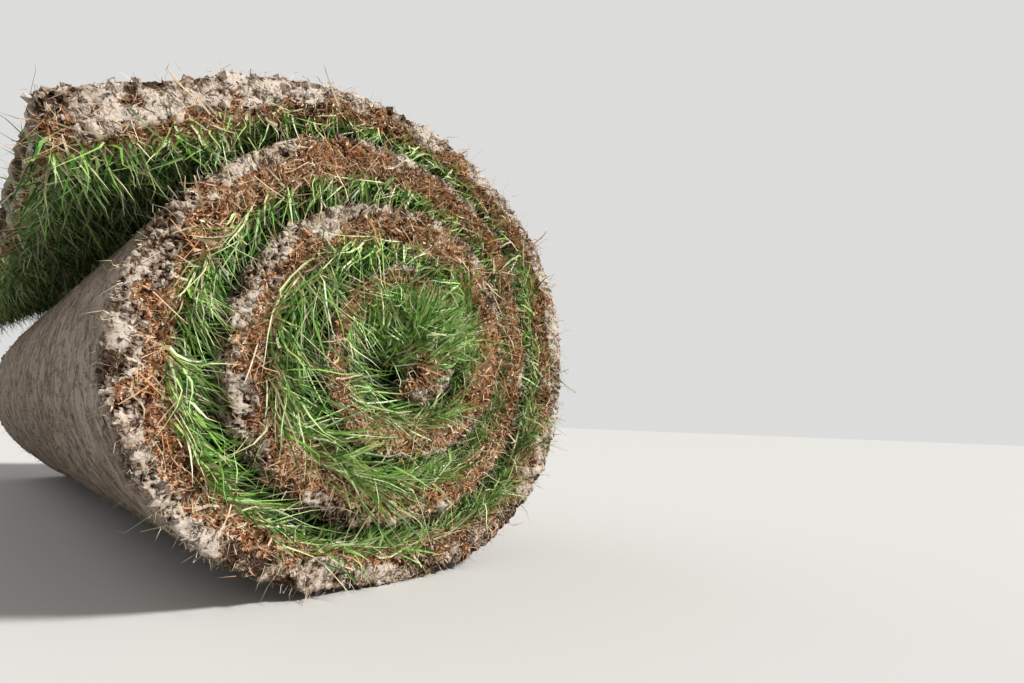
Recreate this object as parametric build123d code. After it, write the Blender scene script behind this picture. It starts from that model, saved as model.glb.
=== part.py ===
"""A roll of turf: one strip of grass and soil, wound up grass side in and laid on its side.

Millimetres. The roll's axis runs along Y, +Z is up, and -Y is the end that shows the
outer end of the strip on the left. The origin is the bottom centre of the roll's box.
"""
from build123d import *
from math import cos, radians, sin
import os

# The cut strip
strip_width = 610.0
soil_thickness = 18.5
pressed_sward = 12.5

# How it is wound: each quarter turn is one arc, and the next one is tighter
quarter_turns = 15
first_radius = 137.0
sag = 20.0
sagging_quarters = 6.5
crowding = 2.3

# Where the roll rests, its weight flattens the underside to a wider arc
base_radius = 190.0
base_spread = 9.5

# The outer end of the strip stands off the roll as a straight flap
flap_length = 66.0
flap_slope = 29.0

# Grass that nothing presses hangs under the flap until it meets the turn below
flap_sward = 18.0
flap_sward_recess = 6.0

# The pressed grass starts at a mouth under the flap and lies back from both cut ends
mouth_angle = 12.0
sward_recess = 16.0

pitch = soil_thickness + pressed_sward
quarter = 90.0


def normal(angle):
    """Outward direction at a clockwise angle from straight up, seen from the front end."""
    return Vector(sin(radians(angle)), cos(radians(angle)))


def forward(angle):
    """Direction in which the strip runs inwards where its outward side faces angle."""
    return Vector(cos(radians(angle)), -sin(radians(angle)))


def quarter_radius(index):
    """Radius of the soil's outer side in one quarter turn, counted from the outer end.

    The roll sags under its own weight, so its top and bottom are flatter than its sides,
    less so towards the middle. The inner turns are crowded towards the right.
    """
    crowded = crowding * (1 - cos(radians(quarter * index)))
    flatter = sag * max(0.0, 1 - index / sagging_quarters)
    if index % 2:
        flatter = -flatter
    return first_radius - index * pitch / 4 - crowded + flatter


def underside(radius):
    """Radius and end angle of the three arcs that take the place of the lowest quarter.

    The shoulders beside the flattened base are tighter, so that the quarter ends where a
    single arc would.
    """
    half_quarter = sin(radians(quarter / 2))
    half_base = sin(radians(base_spread))
    shoulder = (radius * half_quarter - base_radius * half_base) / (half_quarter - half_base)
    bottom = 2 * quarter
    return [
        (shoulder, bottom - base_spread),
        (base_radius, bottom + base_spread),
        (shoulder, bottom + quarter / 2),
    ]


def winding():
    """Centre, radius, start angle and end angle of each arc of the soil's outer side."""
    bends = []
    for index in range(quarter_turns):
        bends.append((quarter_radius(index), quarter * (index + 0.5)))
    bends[2:3] = underside(quarter_radius(2))
    arcs = []
    centre = Vector(0, 0)
    start = -flap_slope
    for radius, end in bends:
        if arcs:
            centre += (arcs[-1][1] - radius) * normal(start)
        arcs.append((centre, radius, start, end))
        start = end
    return arcs


def wall(arcs, depth):
    """Edges of a line that follows the winding at a depth below the soil's outer side."""
    edges = []
    for centre, radius, start, end in arcs:
        angles = (start, (start + end) / 2, end)
        edges.append(ThreePointArc(*[centre + (radius - depth) * normal(a) for a in angles]))
    return edges


def strip_section(arcs):
    """Section of the whole strip: flap, turns and the blunt inner end."""
    outside = wall(arcs, 0.0)
    inside = wall(arcs, soil_thickness)
    back = flap_length * forward(-flap_slope)
    outer_tip = outside[0] @ 0 - back
    inner_tip = inside[0] @ 0 - back
    flap = [
        Line(inside[0] @ 0, inner_tip),
        Line(inner_tip, outer_tip),
        Line(outer_tip, outside[0] @ 0),
    ]
    inner_end = Line(outside[-1] @ 1, inside[-1] @ 1)
    return make_face(outside + inside + flap + [inner_end])


def flap_sward_section(arcs):
    """Section of the grass under the flap, rounded at its free lower corner."""
    centre, radius, start, _ = arcs[0]
    root = [(centre, radius, start, 0.0)]
    back = flap_length * forward(-flap_slope)
    above = wall(root, soil_thickness / 3)[0]
    below = wall(root, soil_thickness + flap_sward)[0]
    sides = [
        Line(above @ 0 - back, above @ 0),
        Line(above @ 0 - back, below @ 0 - back),
        Line(below @ 0 - back, below @ 0),
        Line(above @ 1, below @ 1),
    ]
    section = make_face([above, below] + sides)
    return fillet(section.vertices().sort_by(Axis.Y)[0], flap_sward / 2)


def packed_section(arcs):
    """Section of the closed roll within the middle of its outermost turn of soil."""
    first = -mouth_angle
    last = 4 * quarter - mouth_angle
    turn = []
    for centre, radius, start, end in arcs:
        if start < last:
            turn.append((centre, radius, max(start, first), min(end, last)))
    edges = wall(turn, soil_thickness / 2)
    mouth = Line(edges[-1] @ 1, edges[0] @ 0)
    return make_face(edges + [mouth])


def along_axis(section, length):
    """A section drawn out along the roll's axis, half its length to each side."""
    return extrude(Plane.XZ * section, amount=length / 2, both=True)


def turf_roll():
    """The rolled strip as one solid, standing on its origin."""
    arcs = winding()
    strip = along_axis(strip_section(arcs), strip_width)
    packed = along_axis(packed_section(arcs), strip_width - 2 * sward_recess)
    hanging = along_axis(flap_sward_section(arcs), strip_width - 2 * flap_sward_recess)
    roll = strip + packed + hanging
    box = roll.bounding_box()
    return Pos(-box.center().X, -box.center().Y, -box.min.Z) * roll


os.makedirs("parts", exist_ok=True)
export_step(turf_roll(), "parts/turf_roll.step")
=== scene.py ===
"""A roll of turf dressed around its frame: crumbling soil, thatch, grass, roots and crumbs.

Metres. The front end faces -Y, and End is -1 for what belongs to it and 1 for the back end.
A place in the strip is given by Along, from its outer end inwards, by Depth, 0 on the soil's
outer side and 1 on its grass side, and by Inset, how far it lies back from the cut end.
"""
import math
from functools import reduce

import bpy
import numpy as np
from mathutils import Matrix, Vector


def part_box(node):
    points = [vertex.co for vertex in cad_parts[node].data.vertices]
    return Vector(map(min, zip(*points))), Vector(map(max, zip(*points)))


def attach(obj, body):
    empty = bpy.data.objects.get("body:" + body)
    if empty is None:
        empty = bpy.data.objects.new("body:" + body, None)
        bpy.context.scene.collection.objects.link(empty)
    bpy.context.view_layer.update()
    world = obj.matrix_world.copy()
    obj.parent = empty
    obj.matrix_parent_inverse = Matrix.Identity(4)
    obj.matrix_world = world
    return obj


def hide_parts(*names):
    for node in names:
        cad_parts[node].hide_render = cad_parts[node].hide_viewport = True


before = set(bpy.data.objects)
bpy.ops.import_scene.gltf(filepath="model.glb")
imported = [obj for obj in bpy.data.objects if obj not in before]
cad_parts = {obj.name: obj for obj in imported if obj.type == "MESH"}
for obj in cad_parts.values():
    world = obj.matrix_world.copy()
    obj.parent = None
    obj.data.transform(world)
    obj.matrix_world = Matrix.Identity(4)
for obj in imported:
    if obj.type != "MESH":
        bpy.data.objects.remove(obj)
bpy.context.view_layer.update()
low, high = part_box("turf_roll")
MM = 0.001

# The strip and how it is wound
STRIP_WIDTH = high.y - low.y
SOIL_THICKNESS = 18.5 * MM
PRESSED_SWARD = 12.5 * MM
QUARTER_TURNS = 15
FIRST_RADIUS = 137 * MM
SAG = 20 * MM
SAGGING_QUARTERS = 6.5
CROWDING = 2.3 * MM
BASE_RADIUS = 190 * MM
BASE_SPREAD = 9.5
FLAP_LENGTH = 66 * MM
FLAP_SLOPE = 29
MOUTH_ANGLE = 12
LINE_STEP = 1.2 * MM

# How far this roll's turns stand out from the even winding, at angles along it
UNEVEN_TURNS = (
    (-29, 0), (40, 2), (80, 0), (128, 3), (175, 0), (260, 0), (310, -1), (352, 4.5), (392, 4),
    (440, -8), (490, -5), (530, -6.5), (575, -1.5), (620, 4), (712, 3), (757, 7), (800, 0),
    (890, -5), (980, -3.5), (1030, 1), (1070, 5), (1115, -1), (1160, -8), (1210, -7), (1305, 0),
)

# Soil takes its share of the room between the turns, and the grass has the rest
SOIL_SHARE = 0.6
LEAST_SOIL = 11 * MM
MOST_SOIL = 21 * MM
LEAST_GAP = 3 * MM
MOST_GAP = 30 * MM
FLAP_SPACE = 60 * MM
CORE_SPACE = 45 * MM

# The strip's inner end swells to a lump between these angles
END_LUMP = (1125, 1170)
END_SOIL = 33 * MM


def outward(angle):
    """Outward direction in X and Z at a clockwise angle in degrees from straight up."""
    return np.array([math.sin(math.radians(angle)), math.cos(math.radians(angle))])


def quarter_radius(index):
    """Radius of the soil's outer side in one quarter turn of the even winding."""
    crowded = CROWDING * (1 - math.cos(math.radians(90 * index)))
    flatter = SAG * max(0.0, 1 - index / SAGGING_QUARTERS)
    if index % 2:
        flatter = -flatter
    return FIRST_RADIUS - index * (SOIL_THICKNESS + PRESSED_SWARD) / 4 - crowded + flatter


def winding_arcs():
    """Centre, radius, start angle and end angle of each arc of the soil's outer side."""
    bends = [(quarter_radius(index), 90 * (index + 0.5)) for index in range(QUARTER_TURNS)]
    half_quarter = math.sin(math.radians(45))
    half_base = math.sin(math.radians(BASE_SPREAD))
    lowest = bends[2][0]
    shoulder = (lowest * half_quarter - BASE_RADIUS * half_base) / (half_quarter - half_base)
    bends[2:3] = [
        (shoulder, 180 - BASE_SPREAD),
        (BASE_RADIUS, 180 + BASE_SPREAD),
        (shoulder, 225),
    ]
    arcs = []
    centre = np.zeros(2)
    start = -FLAP_SLOPE
    for radius, end in bends:
        if arcs:
            centre = centre + (arcs[-1][1] - radius) * outward(start)
        arcs.append((centre, radius, start, end))
        start = end
    return arcs


class Winding:
    """The outer side of the soil as a line in X and Z, with its soil and gap at each point."""

    def __init__(self):
        arcs = winding_arcs()
        self.angles = self.even_angles(arcs)
        even = np.array([self.even_point(arcs, angle) for angle in self.angles])
        corner = even[0] - FLAP_LENGTH * np.array([
            math.cos(math.radians(FLAP_SLOPE)), math.sin(math.radians(FLAP_SLOPE))])
        shift = np.array([low.x - corner[0], low.z - even[:, 1].min()])
        stand_out = self.stand_out(self.angles)
        normals = np.array([outward(angle) for angle in self.angles])
        turns = even + stand_out[:, None] * normals + shift
        spacing = self.spacing(arcs)
        steps = int(FLAP_LENGTH / LINE_STEP)
        flap = np.linspace(corner + shift, turns[0], steps, endpoint=False)
        self.points = np.vstack([flap, turns])
        self.angles = np.concatenate([np.full(steps, -FLAP_SLOPE), self.angles])
        spacing = np.concatenate([np.full(steps, FLAP_SPACE), spacing])
        self.soil = np.clip(SOIL_SHARE * spacing, LEAST_SOIL, MOST_SOIL)
        innermost = self.angles > self.angles[-1] - 360
        lump = np.interp(self.angles, END_LUMP, (LEAST_SOIL, END_SOIL))
        self.soil = np.where(innermost, lump, self.soil)
        self.gap = np.clip(spacing - self.soil, LEAST_GAP, MOST_GAP)
        runs = np.linalg.norm(np.diff(self.points, axis=0), axis=1)
        self.along = np.concatenate([[0.0], np.cumsum(runs)])
        self.length = float(self.along[-1])

    def even_angles(self, arcs):
        """Angles of points about one step apart on the even winding."""
        angles = []
        for _, radius, start, end in arcs:
            count = max(2, int(math.radians(end - start) * radius / LINE_STEP))
            angles.extend(np.linspace(start, end, count, endpoint=False))
        return np.array(angles)

    def even_point(self, arcs, angle):
        """Point of the even winding at an angle."""
        for centre, radius, _, end in arcs:
            if angle <= end:
                return centre + radius * outward(angle)
        return None

    def stand_out(self, angles):
        """How far the turns stand out from the even winding, smoothly from place to place."""
        places, heights = np.array(UNEVEN_TURNS, float).T
        index = np.clip(np.searchsorted(places, angles) - 1, 0, len(places) - 2)
        share = (angles - places[index]) / (places[index + 1] - places[index])
        share = (1 - np.cos(np.pi * np.clip(share, 0, 1))) / 2
        return MM * (heights[index] * (1 - share) + heights[index + 1] * share)

    def spacing(self, arcs):
        """Distance from each point to the outer side of the next turn in."""
        spacing = []
        for angle in self.angles:
            inner = angle + 360
            if inner > self.angles[-1]:
                spacing.append(CORE_SPACE)
                continue
            gap = self.even_point(arcs, angle) - self.even_point(arcs, inner)
            uneven = self.stand_out(np.array([angle, inner]))
            spacing.append(gap @ outward(angle) + uneven[0] - uneven[1])
        return np.array(spacing)

    def reach(self, angle):
        """Length along the line, from the outer end, to an angle."""
        return float(np.interp(angle, self.angles[1:], self.along[1:]))

    def as_mesh(self):
        """The line as a mesh of edges that carries soil and gap."""
        mesh = bpy.data.meshes.new("winding")
        count = len(self.points)
        places = [(x, 0.0, z) for x, z in self.points]
        mesh.from_pydata(places, [(i, i + 1) for i in range(count - 1)], [])
        for label, values in (("soil", self.soil), ("gap", self.gap)):
            mesh.attributes.new(label, "FLOAT", "POINT").data.foreach_set("value", values)
        return mesh


# Kinds of sockets, and of a value of three parts that is kept on points
FLOAT = "NodeSocketFloat"
VECTOR = "NodeSocketVector"
GEOMETRY = "NodeSocketGeometry"
AXES = "FLOAT_VECTOR"


class Nodes:
    """A node tree being built. An input is given a plain value or a socket to link from."""

    def __init__(self, tree):
        self.tree = tree

    def put(self, kind, values=None, **settings):
        """One node with its settings and inputs."""
        node = self.tree.nodes.new(kind)
        for label, value in settings.items():
            setattr(node, label, value)
        for label, value in (values or {}).items():
            self.feed(node.inputs[label], value)
        return node

    def first(self, kind, values=None, **settings):
        """The first output of a new node."""
        return self.put(kind, values, **settings).outputs[0]

    def feed(self, socket, value):
        """Links a socket to an input or sets its value."""
        if isinstance(value, bpy.types.NodeSocket):
            self.tree.links.new(value, socket)
        else:
            socket.default_value = value

    def open_group(self, inputs, outputs):
        """Makes the tree a group: inputs, each with a value or a kind of socket, and outputs."""
        kinds = {float: FLOAT, int: "NodeSocketInt"}
        for label, value in inputs.items():
            kind = kinds.get(type(value), value)
            socket = self.tree.interface.new_socket(label, in_out="INPUT", socket_type=kind)
            if kind is not value:
                socket.default_value = value
        for label, kind in outputs.items():
            self.tree.interface.new_socket(label, in_out="OUTPUT", socket_type=kind)
        self.given = self.put("NodeGroupInput").outputs

    def __getitem__(self, label):
        """An input of the group."""
        return self.given[label]

    def give(self, **outputs):
        """The finished group, with what it puts out."""
        self.put("NodeGroupOutput", outputs)
        return self.tree

    def math(self, operation, *values):
        """Result of arithmetic on numbers."""
        return self.first("ShaderNodeMath", dict(enumerate(values)), operation=operation)

    def add(self, *values):
        """Sum of numbers."""
        return reduce(lambda total, value: self.math("ADD", total, value), values)

    def times(self, *values):
        """Product of numbers."""
        return reduce(lambda product, value: self.math("MULTIPLY", product, value), values)

    def less(self, value, taken):
        """One number less another."""
        return self.math("SUBTRACT", value, taken)

    def swing(self, value, reach):
        """A value from 0 to 1 made to swing about nothing, reach from end to end."""
        return self.times(self.less(value, 0.5), reach)

    def tuned(self, start, *changes):
        """A number changed by pairs of a value and its weight."""
        return self.add(start, *(self.times(value, weight) for value, weight in changes))

    def clamp(self, value, least=0.0, most=1.0):
        """A number kept between two others."""
        return self.math("MAXIMUM", self.math("MINIMUM", value, most), least)

    def smooth(self, value, start, end, first=0.0, last=1.0):
        """A number that goes smoothly from first to last as value goes from start to end."""
        return self.first("ShaderNodeMapRange", {
            0: value, 1: start, 2: end, 3: first, 4: last}, interpolation_type="SMOOTHSTEP")

    def vector(self, operation, *values):
        """Result of arithmetic on vectors."""
        node = self.put("ShaderNodeVectorMath", dict(enumerate(values)), operation=operation)
        return node.outputs["Value" if operation in ("DOT_PRODUCT", "LENGTH") else "Vector"]

    def scaled(self, vector, factor):
        """A vector times a number."""
        return self.first("ShaderNodeVectorMath", {
            0: vector, "Scale": factor}, operation="SCALE")

    def sum(self, *vectors):
        """Sum of vectors."""
        return reduce(lambda total, vector: self.vector("ADD", total, vector), vectors)

    def axes(self, x=0.0, y=0.0, z=0.0):
        """A vector from its three parts."""
        return self.first("ShaderNodeCombineXYZ", {0: x, 1: y, 2: z})

    def parts(self, vector):
        """The three parts of a vector."""
        return self.put("ShaderNodeSeparateXYZ", {0: vector}).outputs

    def noise(self, place, scale, detail=2.0, roughness=0.5, distortion=0.0):
        """Smooth noise from 0 to 1."""
        return self.first("ShaderNodeTexNoise", {
            "Vector": place, "Scale": scale, "Detail": detail,
            "Roughness": roughness, "Distortion": distortion})

    def noise_axes(self, place, scale, detail, roughness=0.5):
        """A vector whose parts are each smooth noise from 0 to 1."""
        return self.noise(place, scale, detail, roughness).node.outputs["Color"]

    def cells(self, place, scale, feature="F1"):
        """Cell noise: outputs Distance and, but for edges, Color."""
        return self.put(
            "ShaderNodeTexVoronoi", {"Vector": place, "Scale": scale}, feature=feature).outputs


class Growth(Nodes):
    """A Geometry Nodes tree with named inputs."""

    def __init__(self, name, inputs, outputs=None):
        super().__init__(bpy.data.node_groups.new(name, "GeometryNodeTree"))
        if outputs is None:
            inputs = {"Geometry": GEOMETRY, **inputs, "Material": "NodeSocketMaterial"}
            outputs = {"Geometry": GEOMETRY}
        self.open_group(inputs, outputs)
        self.here = self.first("GeometryNodeInputPosition")

    def seed(self, draw):
        """The tree's seed, moved on by the number of the draw."""
        return self.add(self["Seed"], draw)

    def random(self, least, most, draw):
        """A random number for each element."""
        return self.put("FunctionNodeRandomValue", {
            2: least, 3: most, "Seed": self.seed(draw)}).outputs[1]

    def random_vector(self, reach, draw):
        """A random vector for each element, up to reach along each axis."""
        return self.first("FunctionNodeRandomValue", {
            0: (-reach,) * 3, 1: (reach,) * 3, "Seed": self.seed(draw)}, data_type=AXES)

    def store(self, geometry, label, value, kind="FLOAT"):
        """The geometry with a value kept on its points."""
        return self.first("GeometryNodeStoreNamedAttribute", {
            "Geometry": geometry, "Name": label, "Value": value}, data_type=kind)

    def kept(self, label, kind="FLOAT"):
        """A value that was kept on the points."""
        return self.first("GeometryNodeInputNamedAttribute", {"Name": label}, data_type=kind)

    def place(self, geometry, position):
        """The geometry with its points put at position."""
        return self.first("GeometryNodeSetPosition", {"Geometry": geometry, "Position": position})

    def on_strip(self, along, depth, inset, end):
        """Position, tangent, outward direction and gap at a place in the strip."""
        line = self.first("GeometryNodeMeshToCurve", {"Mesh": self["Geometry"]})
        return self.put("GeometryNodeGroup", {
            "Winding": line, "Along": along, "Depth": depth, "Inset": inset, "End": end,
        }, node_tree=bpy.data.node_groups["place in strip"]).outputs


def place_in_strip():
    """Node group that turns a place in the strip into a point of the roll."""
    g = Growth("place in strip", {
        "Winding": GEOMETRY, "Along": 0.0, "Depth": 0.0, "Inset": 0.0, "End": -1.0,
    }, {"Position": VECTOR, "Tangent": VECTOR, "Outward": VECTOR, "Gap": FLOAT})

    def sampled(label):
        return g.put("GeometryNodeSampleCurve", {
            "Curves": g["Winding"], "Value": g.kept(label), "Length": g["Along"],
        }, mode="LENGTH", use_all_curves=True).outputs

    soil = sampled("soil")
    off = g.vector("NORMALIZE", g.vector("CROSS_PRODUCT", soil["Tangent"], (0, 1, 0)))
    inward = g.times(g["Depth"], soil["Value"], -1.0)
    inset = g["Inset"]
    sway = g.noise(g.axes(g["Along"], g["End"]), 9.0, 1)
    near_cut = g.smooth(inset, 10 * MM, 50 * MM, 1.0, 0.0)
    sway = g.times(g.swing(sway, 2 * END_SWAY), near_cut)
    reach = g.less(STRIP_WIDTH / 2, g.add(inset, sway))
    across = g.add((low.y + high.y) / 2, g.times(g["End"], reach))
    point = g.sum(soil["Position"], g.scaled(off, inward), g.axes(y=across))
    g.give(
        Position=point, Tangent=soil["Tangent"], Outward=off, Gap=sampled("gap")["Value"])


# Lengths along the strip: where the flap's grass hangs free, where the soil dried out first,
# where the thatch gets deeper, and the part of the second turn that lost its thatch
FREE_GRASS = (0.06, 0.15)
DRY_FLAP = (0.18, 0.28)
DRY_TURN = (0.65, 0.95)
DEEPER_THATCH = (0.5, 1.1)
BARE_FROM = 1.30
BARE_TO = 1.45
BARE_FADE = 0.02

# How far the cut end wanders, how far behind it the soil is broken, and the relief of the
# broken soil from lumps down to crumbs
END_SWAY = 3 * MM
BROKEN = (4 * MM, 18 * MM)
WAVE = 1.6 * MM
LUMP = 1.3 * MM
KNOB = 0.5 * MM
GRANULE = 1.5 * MM
CRUMB = 2.2 * MM
PLATE = 1.3 * MM
FLAKE = 1.0 * MM
CRACK = 2.8 * MM
THATCH_RECESS = 1.4 * MM

# Points this near lie on a seam, and no piece reaches further past the roll than its limit
SEAM = 0.01 * MM
SPREAD_LIMIT = 15 * MM
END_LIMIT = 26 * MM
FLOOR_CLEARANCE = 0.4 * MM


def kept_close(g, geometry):
    """The geometry with nothing below the floor and nothing far outside the roll."""
    x, y, z = g.parts(g.here)
    x = g.clamp(x, low.x - SPREAD_LIMIT, high.x + SPREAD_LIMIT)
    y = g.clamp(y, low.y - END_LIMIT, high.y + END_LIMIT)
    z = g.clamp(z, low.z + FLOOR_CLEARANCE, high.z + SPREAD_LIMIT)
    return g.place(geometry, g.axes(x, y, z))


def marked_thatch(g, mesh):
    """The soil with the share of thatch kept: clay outside, thatch at the grass, ragged between."""
    along, depth, inset = g.kept("along"), g.kept("depth"), g.kept("inset")
    layers = g.axes(g.times(along, 0.3), g.times(depth, SOIL_THICKNESS), inset)
    wander = g.add(
        g.swing(g.noise(g.here, 42, 3, 0.62), 2.1),
        g.swing(g.noise(layers, 120, 3, 0.6), 1.5))
    at_the_cut = g.smooth(inset, 0.0, 8 * MM, 1.0, 0.0)
    inner_turns = g.smooth(along, *DEEPER_THATCH, -0.14, 0.30)
    bare = g.times(
        g.smooth(along, BARE_FROM - BARE_FADE, BARE_FROM + BARE_FADE),
        g.smooth(along, BARE_TO - BARE_FADE, BARE_TO + BARE_FADE, 1.0, 0.0))
    mesh = g.store(mesh, "bare", bare)
    shift = g.tuned(g.add(wander, inner_turns), (bare, -0.32))
    level = g.tuned(depth, (shift, at_the_cut))
    return g.store(mesh, "thatch", g.smooth(level, 0.36, 0.56))


def with_relief(g, mesh):
    """Pushes the soil in and out: lumps, knobs and crumbs, and on clay also plates and cracks.

    Noise is scaled per metre, so that a scale of 100 makes forms about 10 mm wide.
    """
    place = g.here
    along, depth, thatch = g.kept("along"), g.kept("depth"), g.kept("thatch")
    clay = g.less(1.0, thatch)
    fine = g.smooth(g.kept("inset"), *BROKEN, 1.0, 0.0)
    bent = g.sum(place, g.scaled(g.noise_axes(place, 90, 2), 10 * MM))

    def swell(scale, detail, reach):
        return g.swing(g.noise(bent, scale, detail, 0.6), 2 * reach)

    lumps = g.add(swell(16, 1, WAVE), g.times(swell(48, 2, LUMP), g.tuned(0.8, (fine, 0.2))))
    knobs = g.times(swell(135, 2, KNOB), g.tuned(0.8, (thatch, 0.6)))
    level_here = g.smooth(g.noise(place, 58, 2, 0.6), 0.46, 0.56)
    level_here = g.times(g.math("MAXIMUM", level_here, g.kept("bare")), clay)
    crumbs = g.tuned(0.8, (thatch, 0.65), (level_here, -0.6))
    crumbs = g.times(swell(420, 4, CRUMB), crumbs, fine)
    round_bits = g.less(0.42, g.cells(bent, 300)["Distance"])
    granular = g.smooth(g.noise(place, 75, 2), 0.42, 0.58)
    granular = g.math("MAXIMUM", g.times(granular, clay, 0.5), g.times(thatch, 0.8))
    granules = g.times(round_bits, granular, GRANULE, fine)
    plates = g.less(g.parts(g.cells(bent, 95)["Color"])[0], 0.6)
    flakes = g.less(g.parts(g.cells(bent, 210)["Color"])[1], 0.5)
    plates = g.times(g.add(g.times(plates, PLATE), g.times(flakes, FLAKE)), clay, fine)
    # Cracks run along the strip, where it was bent round
    layers = g.axes(along, g.times(depth, 2.2 * SOIL_THICKNESS), g.kept("inset"))
    ridge = g.math("ABSOLUTE", g.less(g.noise(layers, 95, 4, 0.6), 0.5))
    open_here = g.smooth(g.noise(place, 40, 1), 0.42, 0.56)
    crack = g.times(g.smooth(ridge, 0.0, 0.035, -CRACK, 0.0), open_here, clay, fine)
    recess = g.times(thatch, fine, -THATCH_RECESS)
    height = g.add(lumps, knobs, crumbs, granules, plates, crack, recess)
    # How far the fine relief stands out, kept so that colour paints the hollows darker as shade and
    # raised crumbs paler as light
    mesh = g.store(mesh, "relief_shade", g.smooth(g.less(height, lumps), -2.6 * MM, 1.6 * MM))
    mesh = g.store(mesh, "broken", fine)
    flap = g.smooth(along, *DRY_FLAP, 0.2, 0.0)
    outer_turn = g.smooth(along, *DRY_TURN, 0.4, 0.0)
    outer_edge = g.times(g.smooth(depth, 0.0, 0.28, -0.9, 0.0), fine)
    # The clay is darker towards the bottom, within 50 mm of the floor
    darker_near_floor = g.smooth(g.parts(place)[2], 5 * MM, 50 * MM, -1.0, 0.0)
    dry = g.add(flap, outer_turn, g.times(level_here, 1.1), outer_edge, darker_near_floor, -0.3)
    mesh = g.store(mesh, "dry", dry)
    push = g.scaled(g.first("GeometryNodeInputNormal"), height)
    return g.place(mesh, g.sum(place, push))


def made_real(g, geometry):
    """The geometry with its instances made real."""
    return g.first("GeometryNodeRealizeInstances", {"Geometry": geometry})


def finished(g, geometry):
    """Ends a tree: kept close to the roll, realized, with its material."""
    return g.give(Geometry=g.first("GeometryNodeSetMaterial", {
        "Geometry": made_real(g, kept_close(g, geometry)), "Material": g["Material"]}))


def flipped(g, mesh, chosen=True):
    """The mesh with the chosen faces turned round."""
    return g.first("GeometryNodeFlipFaces", {"Mesh": mesh, "Selection": chosen})


def joined(g, mesh, distance):
    """The mesh with points that lie together made one."""
    return g.first("GeometryNodeMergeByDistance", {"Geometry": mesh, "Distance": distance})


def grid(g, columns, rows):
    """A grid with its two runs from 0 to 1."""
    mesh = g.first("GeometryNodeMeshGrid", {
        "Size X": 1.0, "Size Y": 1.0, "Vertices X": columns, "Vertices Y": rows})
    x, y, _ = g.parts(g.here)
    return mesh, g.add(x, 0.5), g.add(y, 0.5)


def blurred(g, mesh, times):
    """The mesh with its corners eased."""
    node = g.put("GeometryNodeBlurAttribute", {
        "Value": g.here, "Iterations": times}, data_type=AXES)
    return g.place(mesh, node.outputs["Value"])


def noted(g, mesh, along, depth, inset, put):
    """The mesh with its place in the strip kept on its points for later steps."""
    values = {"depth": depth, "inset": inset, "along": along, "gap": put["Gap"]}
    for label, value in values.items():
        mesh = g.store(mesh, label, value)
    mesh = g.store(mesh, "way", put["Tangent"], AXES)
    return g.store(mesh, "off", put["Outward"], AXES)


def laid_on_strip(g, mesh, along, depth, inset, end, spread=1.0):
    """A grid laid along the strip, its depth drawn in to the middle where spread is less."""
    put = g.on_strip(along, g.add(0.5, g.times(g.less(depth, 0.5), spread)), inset, end)
    return g.place(noted(g, mesh, along, depth, inset, put), put["Position"])


def cut_end_tree():
    """The soil's cut end: grass side, end face and outer side, all along the winding."""
    g = Growth("soil at the cut end", {
        "Length": 1.7, "End": -1.0, "Wall": 18 * MM, "Columns": 1500, "Rows": 44,
    })
    mesh, u, v = grid(g, g["Columns"], g["Rows"])
    cap = SOIL_THICKNESS / 2
    run = g.less(g.times(u, g.add(g["Length"], 2 * cap)), cap)
    beyond = g.math("MAXIMUM", g.times(run, -1.0), g.less(run, g["Length"]))
    spread = g.less(1.0, g.clamp(g.math("DIVIDE", beyond, cap)))
    along = g.clamp(run, 0.0, g["Length"])
    wall = g["Wall"]
    run = g.times(v, g.add(wall, wall, SOIL_THICKNESS))
    face_end = g.add(wall, SOIL_THICKNESS)
    depth = g.clamp(g.math("DIVIDE", g.less(face_end, run), SOIL_THICKNESS))
    grass_wall = g.math("MAXIMUM", g.less(wall, run), 0.0)
    outer_wall = g.math("MAXIMUM", g.less(run, face_end), 0.0)
    inset = g.add(grass_wall, outer_wall)
    mesh = blurred(g, laid_on_strip(g, mesh, along, depth, inset, g["End"], spread), 3)
    mesh = marked_thatch(g, flipped(g, mesh, g.math("GREATER_THAN", g["End"], 0.0)))
    # The outer side tucks in under the skin, and the thatch crumbles back from the cut
    depth, inset = g.kept("depth"), g.kept("inset")
    outer_wall = g.times(inset, g.math("LESS_THAN", depth, 0.5))
    tuck = g.times(g.smooth(outer_wall, 14.5 * MM, 18 * MM), 2.5 * MM)
    ragged = g.noise(g.here, 170, 3, 0.6)
    back = g.times(g.smooth(depth, 0.45, 1.0), g.kept("thatch"), ragged, 6 * MM)
    back = g.times(back, g.smooth(inset, 0.0, 6 * MM, 1.0, 0.0))
    shift = g.axes(y=g.times(g["End"], back, -1.0))
    inwards = g.scaled(g.kept("off", AXES), g.times(tuck, -1.0))
    mesh = g.place(mesh, g.sum(g.here, shift, inwards))
    return finished(g, with_relief(g, mesh))


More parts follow.
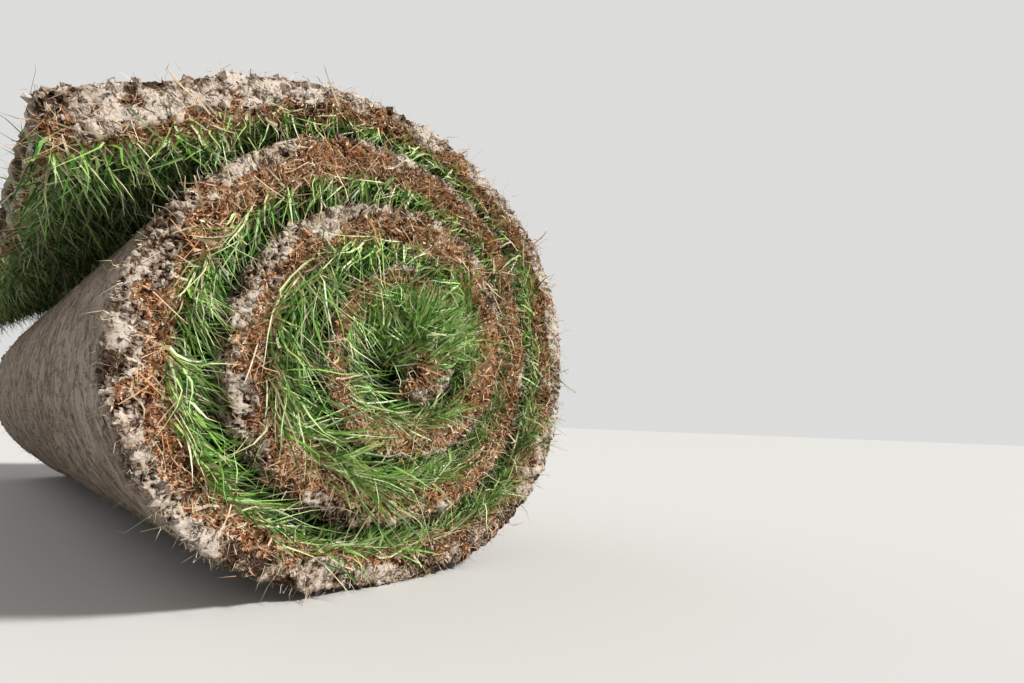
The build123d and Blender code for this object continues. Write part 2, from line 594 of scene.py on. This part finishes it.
def skin_tree():
    """The roll's round outside between its ends, with the flap's two sides and the mouth."""
    g = Growth("soil of the outside", {
        "Outside": 0.8, "Underside": 0.1, "Wall": 14 * MM, "Columns": 400, "Rows": 220,
    })
    mesh, u, v = grid(g, g["Columns"], g["Rows"])
    outside = g["Outside"]
    around = g.add(outside, g["Underside"], SOIL_THICKNESS)
    one_column = g.math("DIVIDE", 1.0, g.less(g["Columns"], 1.0))
    run = g.times(g.math("DIVIDE", u, g.less(1.0, one_column)), around)
    closing = g.math("GREATER_THAN", run, g.add(around, SEAM))
    run = g.times(run, g.less(1.0, closing))
    tip_end = g.add(outside, SOIL_THICKNESS)
    beyond = g.math("MAXIMUM", g.less(run, tip_end), 0.0)
    along = g.add(g.math("MAXIMUM", g.less(outside, run), 0.0), beyond)
    depth = g.clamp(g.math("DIVIDE", g.less(run, outside), SOIL_THICKNESS))
    wall = g["Wall"]
    inset = g.add(wall, g.times(v, g.less(STRIP_WIDTH, g.add(wall, wall))))
    from_back = g.less(STRIP_WIDTH, inset)
    end = g.less(g.times(g.math("GREATER_THAN", inset, from_back), 2.0), 1.0)
    nearest = g.math("MINIMUM", inset, from_back)
    mesh = laid_on_strip(g, mesh, along, depth, nearest, end)
    # The tip of the flap is a broken edge too
    inset = g.math("MINIMUM", g.kept("inset"), g.times(g.kept("along"), 4.0))
    mesh = g.store(mesh, "inset", inset)
    mesh = flipped(g, joined(g, mesh, SEAM))
    mesh = marked_thatch(g, blurred(g, mesh, 1))
    return finished(g, with_relief(g, mesh))


def floor_tree():
    """The pressed sward at the bottom of the gap between the turns at one cut end."""
    g = Growth("pressed sward in the gap", {
        "From": 0.1, "Length": 1.7, "End": -1.0, "Inset": 14 * MM, "Reach": 8 * MM,
        "Columns": 600,
    })
    mesh, u, v = grid(g, g["Columns"], 10)
    along = g.add(g["From"], g.times(u, g.less(g["Length"], g["From"])))
    put = g.on_strip(along, 0.9, g["Inset"], g["End"])
    outside_core = g.smooth(g.less(g["Length"], along), 0.09, 0.12)
    depth = g.less(1.0, g.times(v, outside_core, 0.34))
    mesh = noted(g, mesh, along, depth, 20 * MM, put)
    inwards = g.scaled(put["Outward"], g.times(v, g.add(put["Gap"], g["Reach"]), -1.0))
    mesh = g.place(mesh, g.sum(put["Position"], inwards))
    rough = g.swing(g.noise(g.here, 180, 3, 0.7), 10 * MM)
    mesh = g.place(mesh, g.sum(g.here, g.axes(y=rough)))
    return finished(g, flipped(g, mesh, g.math("LESS_THAN", g["End"], 0.0)))


def ribbon(g, rows, taper, foot=1.0):
    """A unit ribbon along Z that keeps its height as reach and narrows to a point."""
    mesh, side, reach = grid(g, 2, rows)
    width = g.less(1.0, g.math("POWER", reach, taper))
    width = g.times(width, g.smooth(reach, 0.0, 0.3, foot, 1.0))
    mesh = g.store(mesh, "reach", reach)
    mesh = g.place(mesh, g.axes(g.swing(side, width), 0.0, reach))
    return joined(g, mesh, 0.0005)


def aimed(g, direction, facing):
    """Rotation that turns Z to direction and the ribbon's face towards facing."""
    turn = g.first("FunctionNodeAlignRotationToVector", {"Vector": direction}, axis="Z")
    return g.first("FunctionNodeAlignRotationToVector", {
        "Rotation": turn, "Vector": facing}, axis="Y", pivot_axis="Z")


def planted(g, points, shape, rotation, width, length):
    """The shape at each point, made real."""
    size = g.axes(width, width, length)
    return made_real(g, g.first("GeometryNodeInstanceOnPoints", {
        "Points": points, "Instance": shape, "Rotation": rotation, "Scale": size}))


def scattered(g, density):
    """Points scattered over the soil, and the soil's outward direction at each."""
    node = g.put("GeometryNodeDistributePointsOnFaces", {
        "Mesh": g["Geometry"], "Density": density, "Seed": g["Seed"]})
    return g.store(node.outputs["Points"], "out", node.outputs["Normal"], AXES)


# The least and the most of what each blade or bit draws, as shares of its length or width
BLADE_LENGTHS = (0.45, 1.4)
BLADE_WIDTHS = (0.55, 1.3)
BIT_LENGTHS = (0.4, 1.6)
BIT_WIDTHS = (0.5, 1.5)


def grass_tree():
    """Blades rooted in the thatch beside the gap, combed along it and spilling out of the end."""
    g = Growth("grass of the sward", {
        "Density": 200000.0, "End": -1.0, "Length": 25 * MM, "Width": 0.95 * MM, "Combed": 0.8,
        "Outwards": 0.3, "Hanging": 0.1, "Scatter": 0.52, "Long From": 0.9, "Long To": 1.1,
        "Core From": 1.6, "Seed": 1,
    })
    along, inset, gap = g.kept("along"), g.kept("inset"), g.kept("gap")
    # Where the grass hangs free, where it is longer, and the tuft in the middle of the roll
    flap = g.smooth(along, *FREE_GRASS, 1.0, 0.0)
    spill = g.times(
        g.smooth(g.less(along, g["Long From"]), -0.03, 0.03),
        g.smooth(g.less(g["Long To"], along), -0.03, 0.03))
    core = g.smooth(g.less(along, g["Core From"]), -0.01, 0.02)
    rooted = g.smooth(g.kept("depth"), 0.80, 0.99)
    tufts = g.smooth(g.noise(g.here, 85, 2, 0.6), 0.34, 0.56)
    tufts = g.math("MAXIMUM", tufts, g.times(core, 2.8))
    close = g.smooth(inset, 30 * MM, 90 * MM, 1.0, 0.4)
    points = scattered(g, g.times(g["Density"], rooted, tufts, close))
    length = g.times(g["Length"], g.random(*BLADE_LENGTHS, 3))
    narrow = g.smooth(gap, 5 * MM, 14 * MM, 0.55, 1.0)
    length = g.times(length, narrow, g.tuned(1.0, (flap, -0.38), (spill, 0.7), (core, 0.1)))
    points = g.store(points, "blade", length)
    # Painted shade: blades rooted deeper in the gap or further in under the flap are painted
    # darker, and those of the tuft in the middle less so
    shade = g.add(
        g.smooth(inset, 3 * MM, 13 * MM, 0.0, 0.60), g.smooth(inset, 14 * MM, 35 * MM, 0.0, 0.33))
    points = g.store(points, "shade", g.times(shade, g.tuned(1.0, (core, -0.75))))
    points = g.store(points, "tint", g.random(0.0, 1.0, 4))
    wavy = g.tuned(1.0, (flap, 1.8), (core, 0.7))
    points = g.store(points, "wave", g.scaled(g.random_vector(0.12, 9), wavy), AXES)
    sway = g.vector("SUBTRACT", g.noise_axes(g.here, 60, 1), (0.5, 0.5, 0.5))
    loose = g.scaled(g.random_vector(0.6, 5), g.tuned(1.0, (flap, 1.4)))
    bend = g.sum(loose, g.scaled(sway, 1.2), g.axes(z=g.tuned(-0.2, (core, 0.5))))
    points = g.store(points, "bend", bend, AXES)
    room = g.clamp(g.math("DIVIDE", g.times(gap, 1.1), g.kept("blade")), 0.15, 1.0)
    combed = g.times(g["Combed"], g.tuned(1.0, (flap, -0.95), (core, -0.7)))
    hanging = g.tuned(g["Hanging"], (flap, 0.3))
    outwards = g.tuned(g["Outwards"], (spill, 0.3), (flap, -0.25), (core, 0.35))
    loose = g.tuned(g["Scatter"], (flap, 0.6))
    direction = g.sum(
        g.scaled(g.kept("way", AXES), g.times(combed, -1.0)),
        g.scaled(g.kept("off", AXES), g.times(room, g.tuned(-1.0, (core, 0.4)))),
        g.axes(y=g.times(g["End"], outwards), z=g.times(hanging, -1.0)),
        g.scaled(g.random_vector(1.0, 6), loose),
        g.scaled(sway, g.tuned(1.2, (flap, -0.6))),
        g.scaled((0.45, 0.0, 0.7), core),
    )
    direction = g.vector("NORMALIZE", direction)
    drawn_out = g.vector("LENGTH", g.sum(direction, g.kept("bend", AXES)))
    length = g.math("DIVIDE", g.kept("blade"), g.clamp(drawn_out, 0.8, 2.0))
    points = g.store(points, "blade", length)
    facing = g.sum(g.axes(y=g["End"]), g.random_vector(0.9, 7))
    width = g.times(g["Width"], g.random(*BLADE_WIDTHS, 8))
    width = g.times(width, g.tuned(1.0, (core, 0.45)))
    turn = aimed(g, direction, facing)
    blades = planted(g, points, ribbon(g, 6, 2.4), turn, width, g.kept("blade"))
    reach, size = g.kept("reach"), g.kept("blade")
    lean = g.scaled(g.kept("bend", AXES), g.times(reach, reach, size))
    wave = g.scaled(g.kept("wave", AXES), g.times(g.math("SINE", g.times(reach, 5.0)), size))
    blades = g.place(blades, g.sum(g.here, lean, wave))
    return finished(g, blades)


def litter_tree():
    """What lies on the soil or sticks out of it: thatch flakes, dead stems or root hairs."""
    g = Growth("litter on the soil", {
        "Density": 100000.0, "On Thatch": 1.0, "Near Cut": 10 * MM, "Length": 4 * MM,
        "Width": 1.2 * MM, "Lift": 0.4, "Curl": 0.3, "Hanging": 0.0, "Foot": 0.6, "Rows": 3,
        "Seed": 1,
    })
    thatch = g.kept("thatch")
    on_thatch = g["On Thatch"]
    here = g.tuned(g.times(thatch, on_thatch), (g.less(1.0, thatch), g.less(1.0, on_thatch)))
    near = g.math("LESS_THAN", g.kept("inset"), g["Near Cut"])
    patchy = g.smooth(g.noise(g.here, 70, 2, 0.6), 0.3, 0.6, 0.35, 1.0)
    points = scattered(g, g.times(g["Density"], here, near, patchy))
    length = g.times(g["Length"], g.random(*BIT_LENGTHS, 3))
    points = g.store(points, "blade", length)
    points = g.store(points, "tint", g.random(0.0, 1.0, 4))
    points = g.store(points, "bend", g.random_vector(1.0, 5), AXES)
    points = g.store(points, "wave", g.random_vector(0.5, 6), AXES)
    out = g.kept("out", AXES)
    loose = g.random_vector(1.0, 7)
    through = g.scaled(out, g.vector("DOT_PRODUCT", loose, out))
    lying = g.vector("NORMALIZE", g.vector("SUBTRACT", loose, through))
    lift = g.times(g["Lift"], g.random(0.0, 1.6, 8))
    direction = g.sum(
        lying, g.scaled(out, lift), g.axes(z=g.times(g["Hanging"], lift, -1.0)))
    facing = g.sum(out, g.random_vector(0.5, 9))
    width = g.times(g["Width"], g.random(*BIT_WIDTHS, 10))
    shape = ribbon(g, g["Rows"], 3.0, g["Foot"])
    bits = planted(g, points, shape, aimed(g, direction, facing), width, g.kept("blade"))
    reach = g.kept("reach")
    size = g.times(g.kept("blade"), g["Curl"])
    curve = g.scaled(g.kept("bend", AXES), g.times(reach, reach, size))
    wave = g.times(g.math("SINE", g.times(reach, 2 * math.pi)), size)
    bits = g.place(bits, g.sum(g.here, curve, g.scaled(g.kept("wave", AXES), wave)))
    return finished(g, bits)


def crumb_tree():
    """Loose crumbs of soil on the cut end."""
    g = Growth("soil crumbs", {
        "Density": 20000.0, "Near Cut": 8 * MM, "Crumb": 1.1 * MM, "Seed": 1,
    })
    near = g.math("LESS_THAN", g.kept("inset"), g["Near Cut"])
    points = scattered(g, g.times(g["Density"], near))
    ball = g.first("GeometryNodeMeshUVSphere", {"Segments": 4, "Rings": 2, "Radius": 1.0})
    # Most crumbs are small, and a few are five times as large
    size = g.math("POWER", g.random(0.0, 1.0, 3), 3.0)
    size = g.times(g["Crumb"], g.tuned(0.45, (size, 1.9)))
    lumps = planted(g, points, ball, g.random_vector(3.1, 4), size, size)
    shaped = g.vector("SUBTRACT", g.noise_axes(g.here, 700, 1), (0.5, 0.5, 0.5))
    lumps = g.place(lumps, g.sum(g.here, g.scaled(shaped, 2.2 * MM)))
    return finished(g, lumps)


class Finish(Nodes):
    """A material with one Principled shader."""

    def __init__(self, name, roughness, specular):
        self.material = bpy.data.materials.new(name)
        self.material.use_nodes = True
        super().__init__(self.material.node_tree)
        self.shader = self.tree.nodes["Principled BSDF"]
        self.shader.inputs["Roughness"].default_value = roughness
        self.shader.inputs["Specular IOR Level"].default_value = specular
        self.here = self.put("ShaderNodeTexCoord").outputs["Object"]

    def kept(self, label):
        """A number kept on the points of the piece."""
        return self.put("ShaderNodeAttribute", attribute_name=label).outputs["Fac"]

    def group(self, tree, **values):
        """An effect from a node group, with its own values."""
        return self.put("ShaderNodeGroup", values, node_tree=tree).outputs

    def coloured(self, colour):
        """The material with its colour."""
        self.feed(self.shader.inputs["Base Color"], colour)
        return self.material


def ramp(g, factor, stops):
    """Colour by factor, from stops of place and linear red, green and blue."""
    node = g.put("ShaderNodeValToRGB", {"Fac": factor})
    elements = node.color_ramp.elements
    while len(elements) < len(stops):
        elements.new(0.5)
    for element, (place, colour) in zip(elements, stops):
        element.position = place
        element.color = (*colour, 1.0)
    return node.outputs["Color"]


def blend(g, factor, first, second):
    """Two colours mixed."""
    values = [(*value, 1.0) if isinstance(value, tuple) else value for value in (first, second)]
    inputs = {0: factor, 6: values[0], 7: values[1]}
    return g.put("ShaderNodeMix", inputs, data_type="RGBA").outputs[2]


def shader_group(name, inputs):
    """An empty shader node group with named inputs, which puts out a colour and a height."""
    g = Nodes(bpy.data.node_groups.new(name, "ShaderNodeTree"))
    g.open_group(inputs, {"Color": "NodeSocketColor", "Height": FLOAT})
    return g


CLAY_PALE = (0.77, 0.665, 0.565)
CLAY = (0.50, 0.39, 0.30)
CLAY_PRESSED = (0.40, 0.305, 0.225)
CLAY_BROWN = (0.28, 0.185, 0.12)
# Painted shade in the cracks of the clay
CLAY_CRACK_SHADE = (0.15, 0.085, 0.05)
CLAY_DARK = (0.07, 0.04, 0.023)
THATCH_DARK = (0.045, 0.018, 0.009)
THATCH = (0.28, 0.115, 0.05)
THATCH_BRIGHT = (0.68, 0.30, 0.12)
THATCH_TAN = (0.80, 0.53, 0.33)
THATCH_PALE = (0.85, 0.71, 0.54)
STRAW = (0.80, 0.66, 0.43)
# The dark green that painted shade on the grass goes to
GRASS_SHADE = (0.020, 0.045, 0.008)

# Runs of colour, from hollows and deep shade, painted in, to what stands out dry and bleached; the
# grass's palest greens are painted highlights on some blades
CLAY_COLOURS = ((0.22, CLAY_DARK), (0.38, CLAY_BROWN), (0.56, CLAY), (0.80, CLAY_PALE))
THATCH_COLOURS = ((0.30, THATCH_DARK), (0.44, THATCH), (0.62, THATCH_BRIGHT), (0.80, THATCH_TAN))
GRASS_COLOURS = (
    (0.0, (0.012, 0.055, 0.006)), (0.22, (0.070, 0.24, 0.028)), (0.45, (0.26, 0.57, 0.080)),
    (0.62, (0.58, 0.84, 0.26)), (0.84, (0.80, 0.93, 0.56)), (0.92, (0.86, 0.78, 0.47)),
)
FOOT_COLOURS = ((0.0, (0.22, 0.15, 0.05)), (0.5, (0.55, 0.43, 0.19)), (1.0, (0.75, 0.60, 0.35)))
# The pressed sward's greens, nearly black as painted shade at the bottom of the gap
SWARD_COLOURS = (
    (0.35, (0.006, 0.010, 0.002)), (0.6, (0.03, 0.055, 0.009)), (0.8, (0.11, 0.11, 0.035)),
)
FIBRES = {
    "thatch flakes": (
        (0.04, THATCH_DARK), (0.20, THATCH), (0.44, THATCH_BRIGHT), (0.68, THATCH_TAN),
        (0.88, THATCH_PALE)),
    "dead stems": ((0.1, THATCH_BRIGHT), (0.4, THATCH_TAN), (0.8, STRAW)),
    "straw": ((0.1, THATCH_TAN), (0.4, THATCH_PALE), (0.9, STRAW)),
    "root hairs": ((0.1, CLAY), (0.5, CLAY_PALE), (0.9, STRAW)),
}


def clay_group():
    """Dry clay: pale where it is dry, paler where it stands out and browner in the hollows as
    painted light and shade, with pits painted dark as shade.
    """
    g = shader_group("dry clay", {"Place": VECTOR, "Worn": 0.5, "Broken": 0.0, "Dry": 0.0})
    place, broken = g["Place"], g["Broken"]
    # Everything is drawn out a little along the roll's axis
    along_axis = g.vector("MULTIPLY", place, (1.0, 0.7, 1.0))
    bent = g.sum(along_axis, g.scaled(g.noise_axes(place, 90, 3, 0.7), 14 * MM))
    patches = g.swing(g.noise(place, 36, 4, 0.65, 0.4), 1.5)
    patches = g.times(patches, g.tuned(0.3, (broken, 0.7)))
    scales = g.swing(g.parts(g.cells(bent, 105)["Color"])[0], 0.22)
    fine = g.noise(place, 900, 4, 0.75)
    grain = g.times(g.swing(fine, 1.9), g.tuned(0.7, (broken, 0.3)))
    mottled = g.swing(g.noise(place, 160, 6, 0.8, 0.5), 1.1)
    mottled = g.times(g.add(mottled, scales), g.tuned(1.0, (broken, -0.4)))
    # Raised crumbs are painted paler and hollows darker, as painted light and shade
    relief_shade = g.swing(g["Worn"], 1.25)
    # Dry plates are plainer than the rest
    plain = g.tuned(1.0, (g.clamp(g["Dry"]), -0.45))
    mixed = g.times(g.add(patches, mottled, grain), plain)
    level = g.tuned(g.add(0.33, mixed, relief_shade), (g["Dry"], 0.2), (broken, 0.17))
    colour = ramp(g, level, CLAY_COLOURS)
    size = g.tuned(150.0, (broken, 220.0))
    # Pits and the cracks along the plates' edges are painted dark, as the shade in them
    pits = g.smooth(g.noise(along_axis, size, 3, 0.65, 1.2), 0.34, 0.42)
    seams = g.smooth(g.cells(bent, 105, "DISTANCE_TO_EDGE")["Distance"], 0.0, 0.12, 1.0, 0.0)
    seams = g.times(seams, g.smooth(g.noise(place, 150, 3), 0.42, 0.56))
    light = g.tuned(0.5, (broken, -0.35))
    light = g.tuned(light, (pits, g.less(1.0, light)))
    colour = blend(g, light, CLAY_DARK, colour)
    colour = blend(g, g.times(seams, 0.65), colour, CLAY_CRACK_SHADE)
    colour = blend(g, g.tuned(0.32, (broken, -0.32)), colour, CLAY_PRESSED)
    height = g.tuned(g.times(pits, 0.7), (fine, 0.6), (seams, -1.2))
    return g.give(Color=colour, Height=height)


def thatch_group():
    """Matted thatch: red-brown and orange fibre with tan flecks, its hollows darkened as painted
    shade.
    """
    g = shader_group("matted thatch", {"Place": VECTOR, "Worn": 0.5})
    place = g["Place"]
    strands = g.noise(place, 620, 4, 0.8, 1.0)
    broad = g.noise(place, 60, 2, 0.6)
    # Painted shade in the hollows of the relief, painted light on what stands out
    relief_shade = g.swing(g["Worn"], 0.5)
    level = g.add(g.times(strands, 1.5), g.times(broad, 0.5), relief_shade, -0.50)
    return g.give(Color=ramp(g, level, THATCH_COLOURS), Height=strands)


def soil_finish(clay, thatch):
    """Soil that is clay on its outer side and turns to thatch towards the grass."""
    f = Finish("soil", 0.92, 0.2)
    # The relief, passed on to paint shade into the hollows and light onto what stands out
    relief_shade = f.kept("relief_shade")
    clay_part = f.group(
        clay, Place=f.here, Worn=relief_shade, Broken=f.kept("broken"), Dry=f.kept("dry"))
    thatch_part = f.group(thatch, Place=f.here, Worn=relief_shade)
    ragged = f.swing(f.noise(f.here, 260, 3, 0.7), 1.6)
    share = f.smooth(f.add(f.kept("thatch"), ragged), 0.35, 0.65)
    height = f.first("ShaderNodeMix", {
        0: share, 2: clay_part["Height"], 3: thatch_part["Height"]}, data_type="FLOAT")
    f.feed(f.shader.inputs["Normal"], f.first("ShaderNodeBump", {
        "Strength": 0.9, "Distance": 1.2 * MM, "Height": height}))
    return f.coloured(blend(f, share, clay_part["Color"], thatch_part["Color"]))


def grass_finish():
    """Grass: straw-coloured at the foot, green above, each blade its own tint, with painted shade
    on blades rooted deep that fades towards their tips.
    """
    f = Finish("grass", 0.42, 0.45)
    tint, reach = f.kept("tint"), f.kept("reach")
    green = ramp(f, tint, GRASS_COLOURS)
    foot = ramp(f, tint, FOOT_COLOURS)
    up = f.smooth(f.add(reach, f.swing(tint, 0.35)), 0.0, 0.32)
    colour = blend(f, up, foot, green)
    # Painted shade on blades rooted deep, fading towards their tips
    shade = f.times(f.kept("shade"), f.smooth(reach, 0.2, 1.0, 1.0, 0.45))
    return f.coloured(blend(f, shade, colour, GRASS_SHADE))


def fibre_finish(name, stops):
    """Bits that each take one colour from a run of stops, shifted from patch to patch."""
    f = Finish(name, 0.75, 0.25)
    patch = f.swing(f.noise(f.here, 60, 2, 0.6), 1.1)
    return f.coloured(ramp(f, f.add(f.kept("tint"), patch), stops))


def sward_finish(thatch):
    """The bottom of the gap: pressed grass and thatch, its green painted near black as the shade
    there.
    """
    f = Finish("pressed sward", 0.9, 0.2)
    green = ramp(f, f.noise(f.here, 500, 3, 0.7, 0.8), SWARD_COLOURS)
    part = f.group(thatch, Place=f.here, Worn=0.2)
    share = f.smooth(f.noise(f.here, 110, 2), 0.52, 0.68)
    return f.coloured(blend(f, share, green, part["Color"]))


def plain_mesh(name, carrier, tree, **sizes):
    """A piece as the plain mesh that a node tree makes of the carrier mesh."""
    maker = bpy.data.objects.new(name + "_maker", carrier)
    bpy.context.scene.collection.objects.link(maker)
    modifier = maker.modifiers.new("growth", "NODES")
    modifier.node_group = tree
    sockets = {item.name: item.identifier for item in tree.interface.items_tree
               if item.item_type == "SOCKET" and item.in_out == "INPUT"}
    for label, value in sizes.items():
        modifier[sockets[label.replace("_", " ")]] = value
    graph = bpy.context.evaluated_depsgraph_get()
    mesh = bpy.data.meshes.new_from_object(maker.evaluated_get(graph))
    maker.modifiers.remove(modifier)
    bpy.data.objects.remove(maker)
    mesh.name = name
    piece = bpy.data.objects.new(name, mesh)
    bpy.context.scene.collection.objects.link(piece)
    return piece


# What a piece no longer needs once it is made
SCRATCH_MARKS = (
    "way", "off", "gap", "out", "bend", "wave", "blade", "inset", "along", "depth", "bare")

# Columns and rows of the outside's grid, and of each cut end: its name, its side, its grid and
# how densely grass and bits cover it
OUTSIDE_GRID = {"Columns": 380, "Rows": 170}
CUT_ENDS = (
    ("front", -1.0, {"Columns": 1900, "Rows": 50}, 1.0),
    ("back", 1.0, {"Columns": 1200, "Rows": 32}, 0.4),
)

# Blades and crumbs for each square metre, the turn that the grass spills out of, and how much
# of the strip's inner end bears the tuft
BLADES = 420000.0
GAP_BLADES = 230000.0
CRUMBS = 60000.0
SPILL_ANGLES = (545, 710)
CORE_LENGTH = 70 * MM
GAP_CORE_LENGTH = 110 * MM

# Bits on the soil: name, fibre, how many for each square metre, and what shapes them
OUTSIDE_LITTER = (
    ("thatch_chips_flap", "thatch flakes", 220000.0, dict(
        Length=2.1 * MM, Width=1.3 * MM, Lift=0.45, Foot=1.0, Rows=2, Seed=60)),
    ("thatch_strands_flap", "thatch flakes", 90000.0, dict(
        Length=4.5 * MM, Width=0.5 * MM, Lift=0.4, Curl=0.6, Rows=4, Seed=65)),
    ("root_hairs_outside", "root hairs", 7000.0, dict(
        On_Thatch=0.0, Near_Cut=1.0, Length=9 * MM, Width=0.3 * MM, Lift=0.06,
        Curl=0.6, Rows=4, Seed=90)),
)
END_LITTER = (
    ("thatch_chips_{}", "thatch flakes", 3000000.0, dict(
        Length=1.8 * MM, Width=1.5 * MM, Lift=0.6, Foot=1.0, Rows=2, Seed=20)),
    ("thatch_strands_{}", "thatch flakes", 230000.0, dict(
        Length=4.2 * MM, Width=0.6 * MM, Lift=0.4, Curl=0.7, Rows=4, Seed=25)),
    ("dead_stems_{}", "dead stems", 145000.0, dict(
        Near_Cut=12 * MM, On_Thatch=0.985, Length=9 * MM, Width=0.45 * MM, Lift=0.4,
        Hanging=0.4, Curl=0.7, Rows=5, Seed=30)),
    ("straw_{}", "straw", 17000.0, dict(
        Near_Cut=10 * MM, Length=12 * MM, Width=1.0 * MM, Lift=0.22, Hanging=0.3,
        Curl=0.7, Rows=6, Seed=35)),
    ("root_hairs_{}", "root hairs", 90000.0, dict(
        On_Thatch=0.0, Near_Cut=6 * MM, Length=5.5 * MM, Width=0.3 * MM, Lift=0.5,
        Hanging=0.5, Curl=0.6, Rows=4, Seed=40)),
)


def strewn(carrier, tree, fibres, kinds, place="", share=1.0):
    """Pieces made of the bits that lie on a surface or stick out of it, one for each kind."""
    return [
        plain_mesh(name.format(place), carrier.data, tree, Density=density * share,
                   Material=fibres[fibre], **shape)
        for name, fibre, density, shape in kinds]


def build_roll():
    """All pieces of the dressed roll."""
    winding = Winding()
    line = winding.as_mesh()
    length = winding.length
    place_in_strip()
    clay = clay_group()
    thatch = thatch_group()
    soil = soil_finish(clay, thatch)
    sward = sward_finish(thatch)
    grass = grass_finish()
    fibres = {name: fibre_finish(name, stops) for name, stops in FIBRES.items()}
    mouth_inside = winding.reach(360 - MOUTH_ANGLE)
    mouth_outside = winding.reach(-MOUTH_ANGLE)
    long_from, long_to = (winding.reach(angle) for angle in SPILL_ANGLES)
    end_soil, skin, gap_floor = cut_end_tree(), skin_tree(), floor_tree()
    blades, litter, crumbs = grass_tree(), litter_tree(), crumb_tree()

    outside = plain_mesh(
        "soil_outside", line, skin, Outside=mouth_inside, Underside=mouth_outside,
        Material=soil, **OUTSIDE_GRID)
    surfaces = [outside]
    bits = [plain_mesh(
        "grass_under_flap", outside.data, blades, Density=BLADES, Outwards=0.2, Scatter=0.8,
        Seed=70, Material=grass)]
    bits += strewn(outside, litter, fibres, OUTSIDE_LITTER)
    for name, end, cells, share in CUT_ENDS:
        cut = plain_mesh(
            f"soil_{name}_end", line, end_soil, Length=length, End=end, Material=soil, **cells)
        floor = plain_mesh(
            f"pressed_sward_{name}", line, gap_floor, From=mouth_outside, Length=length,
            End=end, Material=sward)
        surfaces += [cut, floor]
        bits.append(plain_mesh(
            f"grass_{name}_end", cut.data, blades, Density=BLADES * share, End=end,
            Long_From=long_from, Long_To=long_to, Core_From=length - CORE_LENGTH, Seed=10,
            Material=grass))
        bits.append(plain_mesh(
            f"grass_in_gap_{name}", floor.data, blades, Density=GAP_BLADES * share, End=end,
            Length=20 * MM, Outwards=0.7, Core_From=length - GAP_CORE_LENGTH, Seed=80,
            Material=grass))
        bits += strewn(cut, litter, fibres, END_LITTER, name, share)
        bits.append(plain_mesh(
            f"crumbs_{name}", cut.data, crumbs, Density=CRUMBS * share, Seed=50, Material=soil))
    for piece in surfaces:
        piece.data.shade_smooth()
        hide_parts("turf_roll")
    for piece in surfaces + bits:
        for label in SCRATCH_MARKS:
            mark = piece.data.attributes.get(label)
            if mark:
                piece.data.attributes.remove(mark)
        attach(piece, "root")


# The studio. The floor looks pale, but throws little light back up into the grass
FLOOR_EDGE = 8.0
FLOOR_SEEN = (0.67, 0.665, 0.65)
FLOOR_LIT = (0.34, 0.34, 0.33)
BACKGROUND = (0.72, 0.72, 0.71, 1.0)
SKY = (1.0, 0.985, 0.96, 1.0)
SKY_STRENGTH = 0.28

# Each lamp's name, where it shines from, its spread in degrees, its strength and its colour
LAMPS = (
    ("key lamp", (0.9, -1.3, 1.3), 10, 4.2, (1.0, 0.98, 0.95)),
    ("fill lamp", (-0.8, 1.2, 1.3), 60, 0.6, (0.95, 0.97, 1.0)),
)


def build_studio():
    """Wide pale floor, a pale background, one soft key lamp, a weak fill and an even sky."""
    mesh = bpy.data.meshes.new("studio_floor")
    corners = ((-1, -1), (1, -1), (1, 1), (-1, 1))
    corners = [(x * FLOOR_EDGE, y * FLOOR_EDGE, 0.0) for x, y in corners]
    mesh.from_pydata(corners, [], [(0, 1, 2, 3)])
    floor = bpy.data.objects.new("studio_floor", mesh)
    bpy.context.scene.collection.objects.link(floor)
    pale = Finish("studio paper", 0.95, 0.1)
    direct = pale.put("ShaderNodeLightPath").outputs["Is Camera Ray"]
    mesh.materials.append(pale.coloured(blend(pale, direct, FLOOR_LIT, FLOOR_SEEN)))

    world = bpy.data.worlds.new("studio")
    bpy.context.scene.world = world
    world.use_nodes = True
    tree = Nodes(world.node_tree)
    sky = world.node_tree.nodes["Background"]
    sky.inputs["Color"].default_value = SKY
    sky.inputs["Strength"].default_value = SKY_STRENGTH
    paper = tree.first("ShaderNodeBackground", {"Color": BACKGROUND, "Strength": 1.0})
    seen = tree.put("ShaderNodeLightPath").outputs["Is Camera Ray"]
    both = tree.first("ShaderNodeMixShader", {0: seen, 1: sky.outputs[0], 2: paper})
    tree.feed(world.node_tree.nodes["World Output"].inputs["Surface"], both)
    for name, source, spread, strength, colour in LAMPS:
        data = bpy.data.lights.new(name, "SUN")
        data.angle = math.radians(spread)
        data.energy = strength
        data.color = colour
        lamp = bpy.data.objects.new(name, data)
        lamp.rotation_euler = Vector(source).to_track_quat("Z", "Y").to_euler()
        bpy.context.scene.collection.objects.link(lamp)


# The camera stands close to the front end, low and to its left
LENS = 20.2
CAMERA_PLACE = (-0.1461, -0.5483, 0.0784)
CAMERA_AXES = (
    (0.71155, -0.70192, 0.03152),
    (-0.11977, -0.07697, 0.98981),
    (-0.69235, -0.70808, -0.13883),
)


def build_camera():
    """The photograph's viewpoint."""
    data = bpy.data.cameras.new("camera")
    data.lens = LENS
    data.sensor_width = 36.0
    data.clip_start = 0.01
    camera = bpy.data.objects.new("camera", data)
    turn = Matrix(CAMERA_AXES).transposed().to_4x4()
    camera.matrix_world = Matrix.Translation(CAMERA_PLACE) @ turn
    bpy.context.scene.collection.objects.link(camera)
    bpy.context.scene.camera = camera


bpy.context.scene.view_settings.view_transform = "Standard"
build_studio()
build_camera()
build_roll()
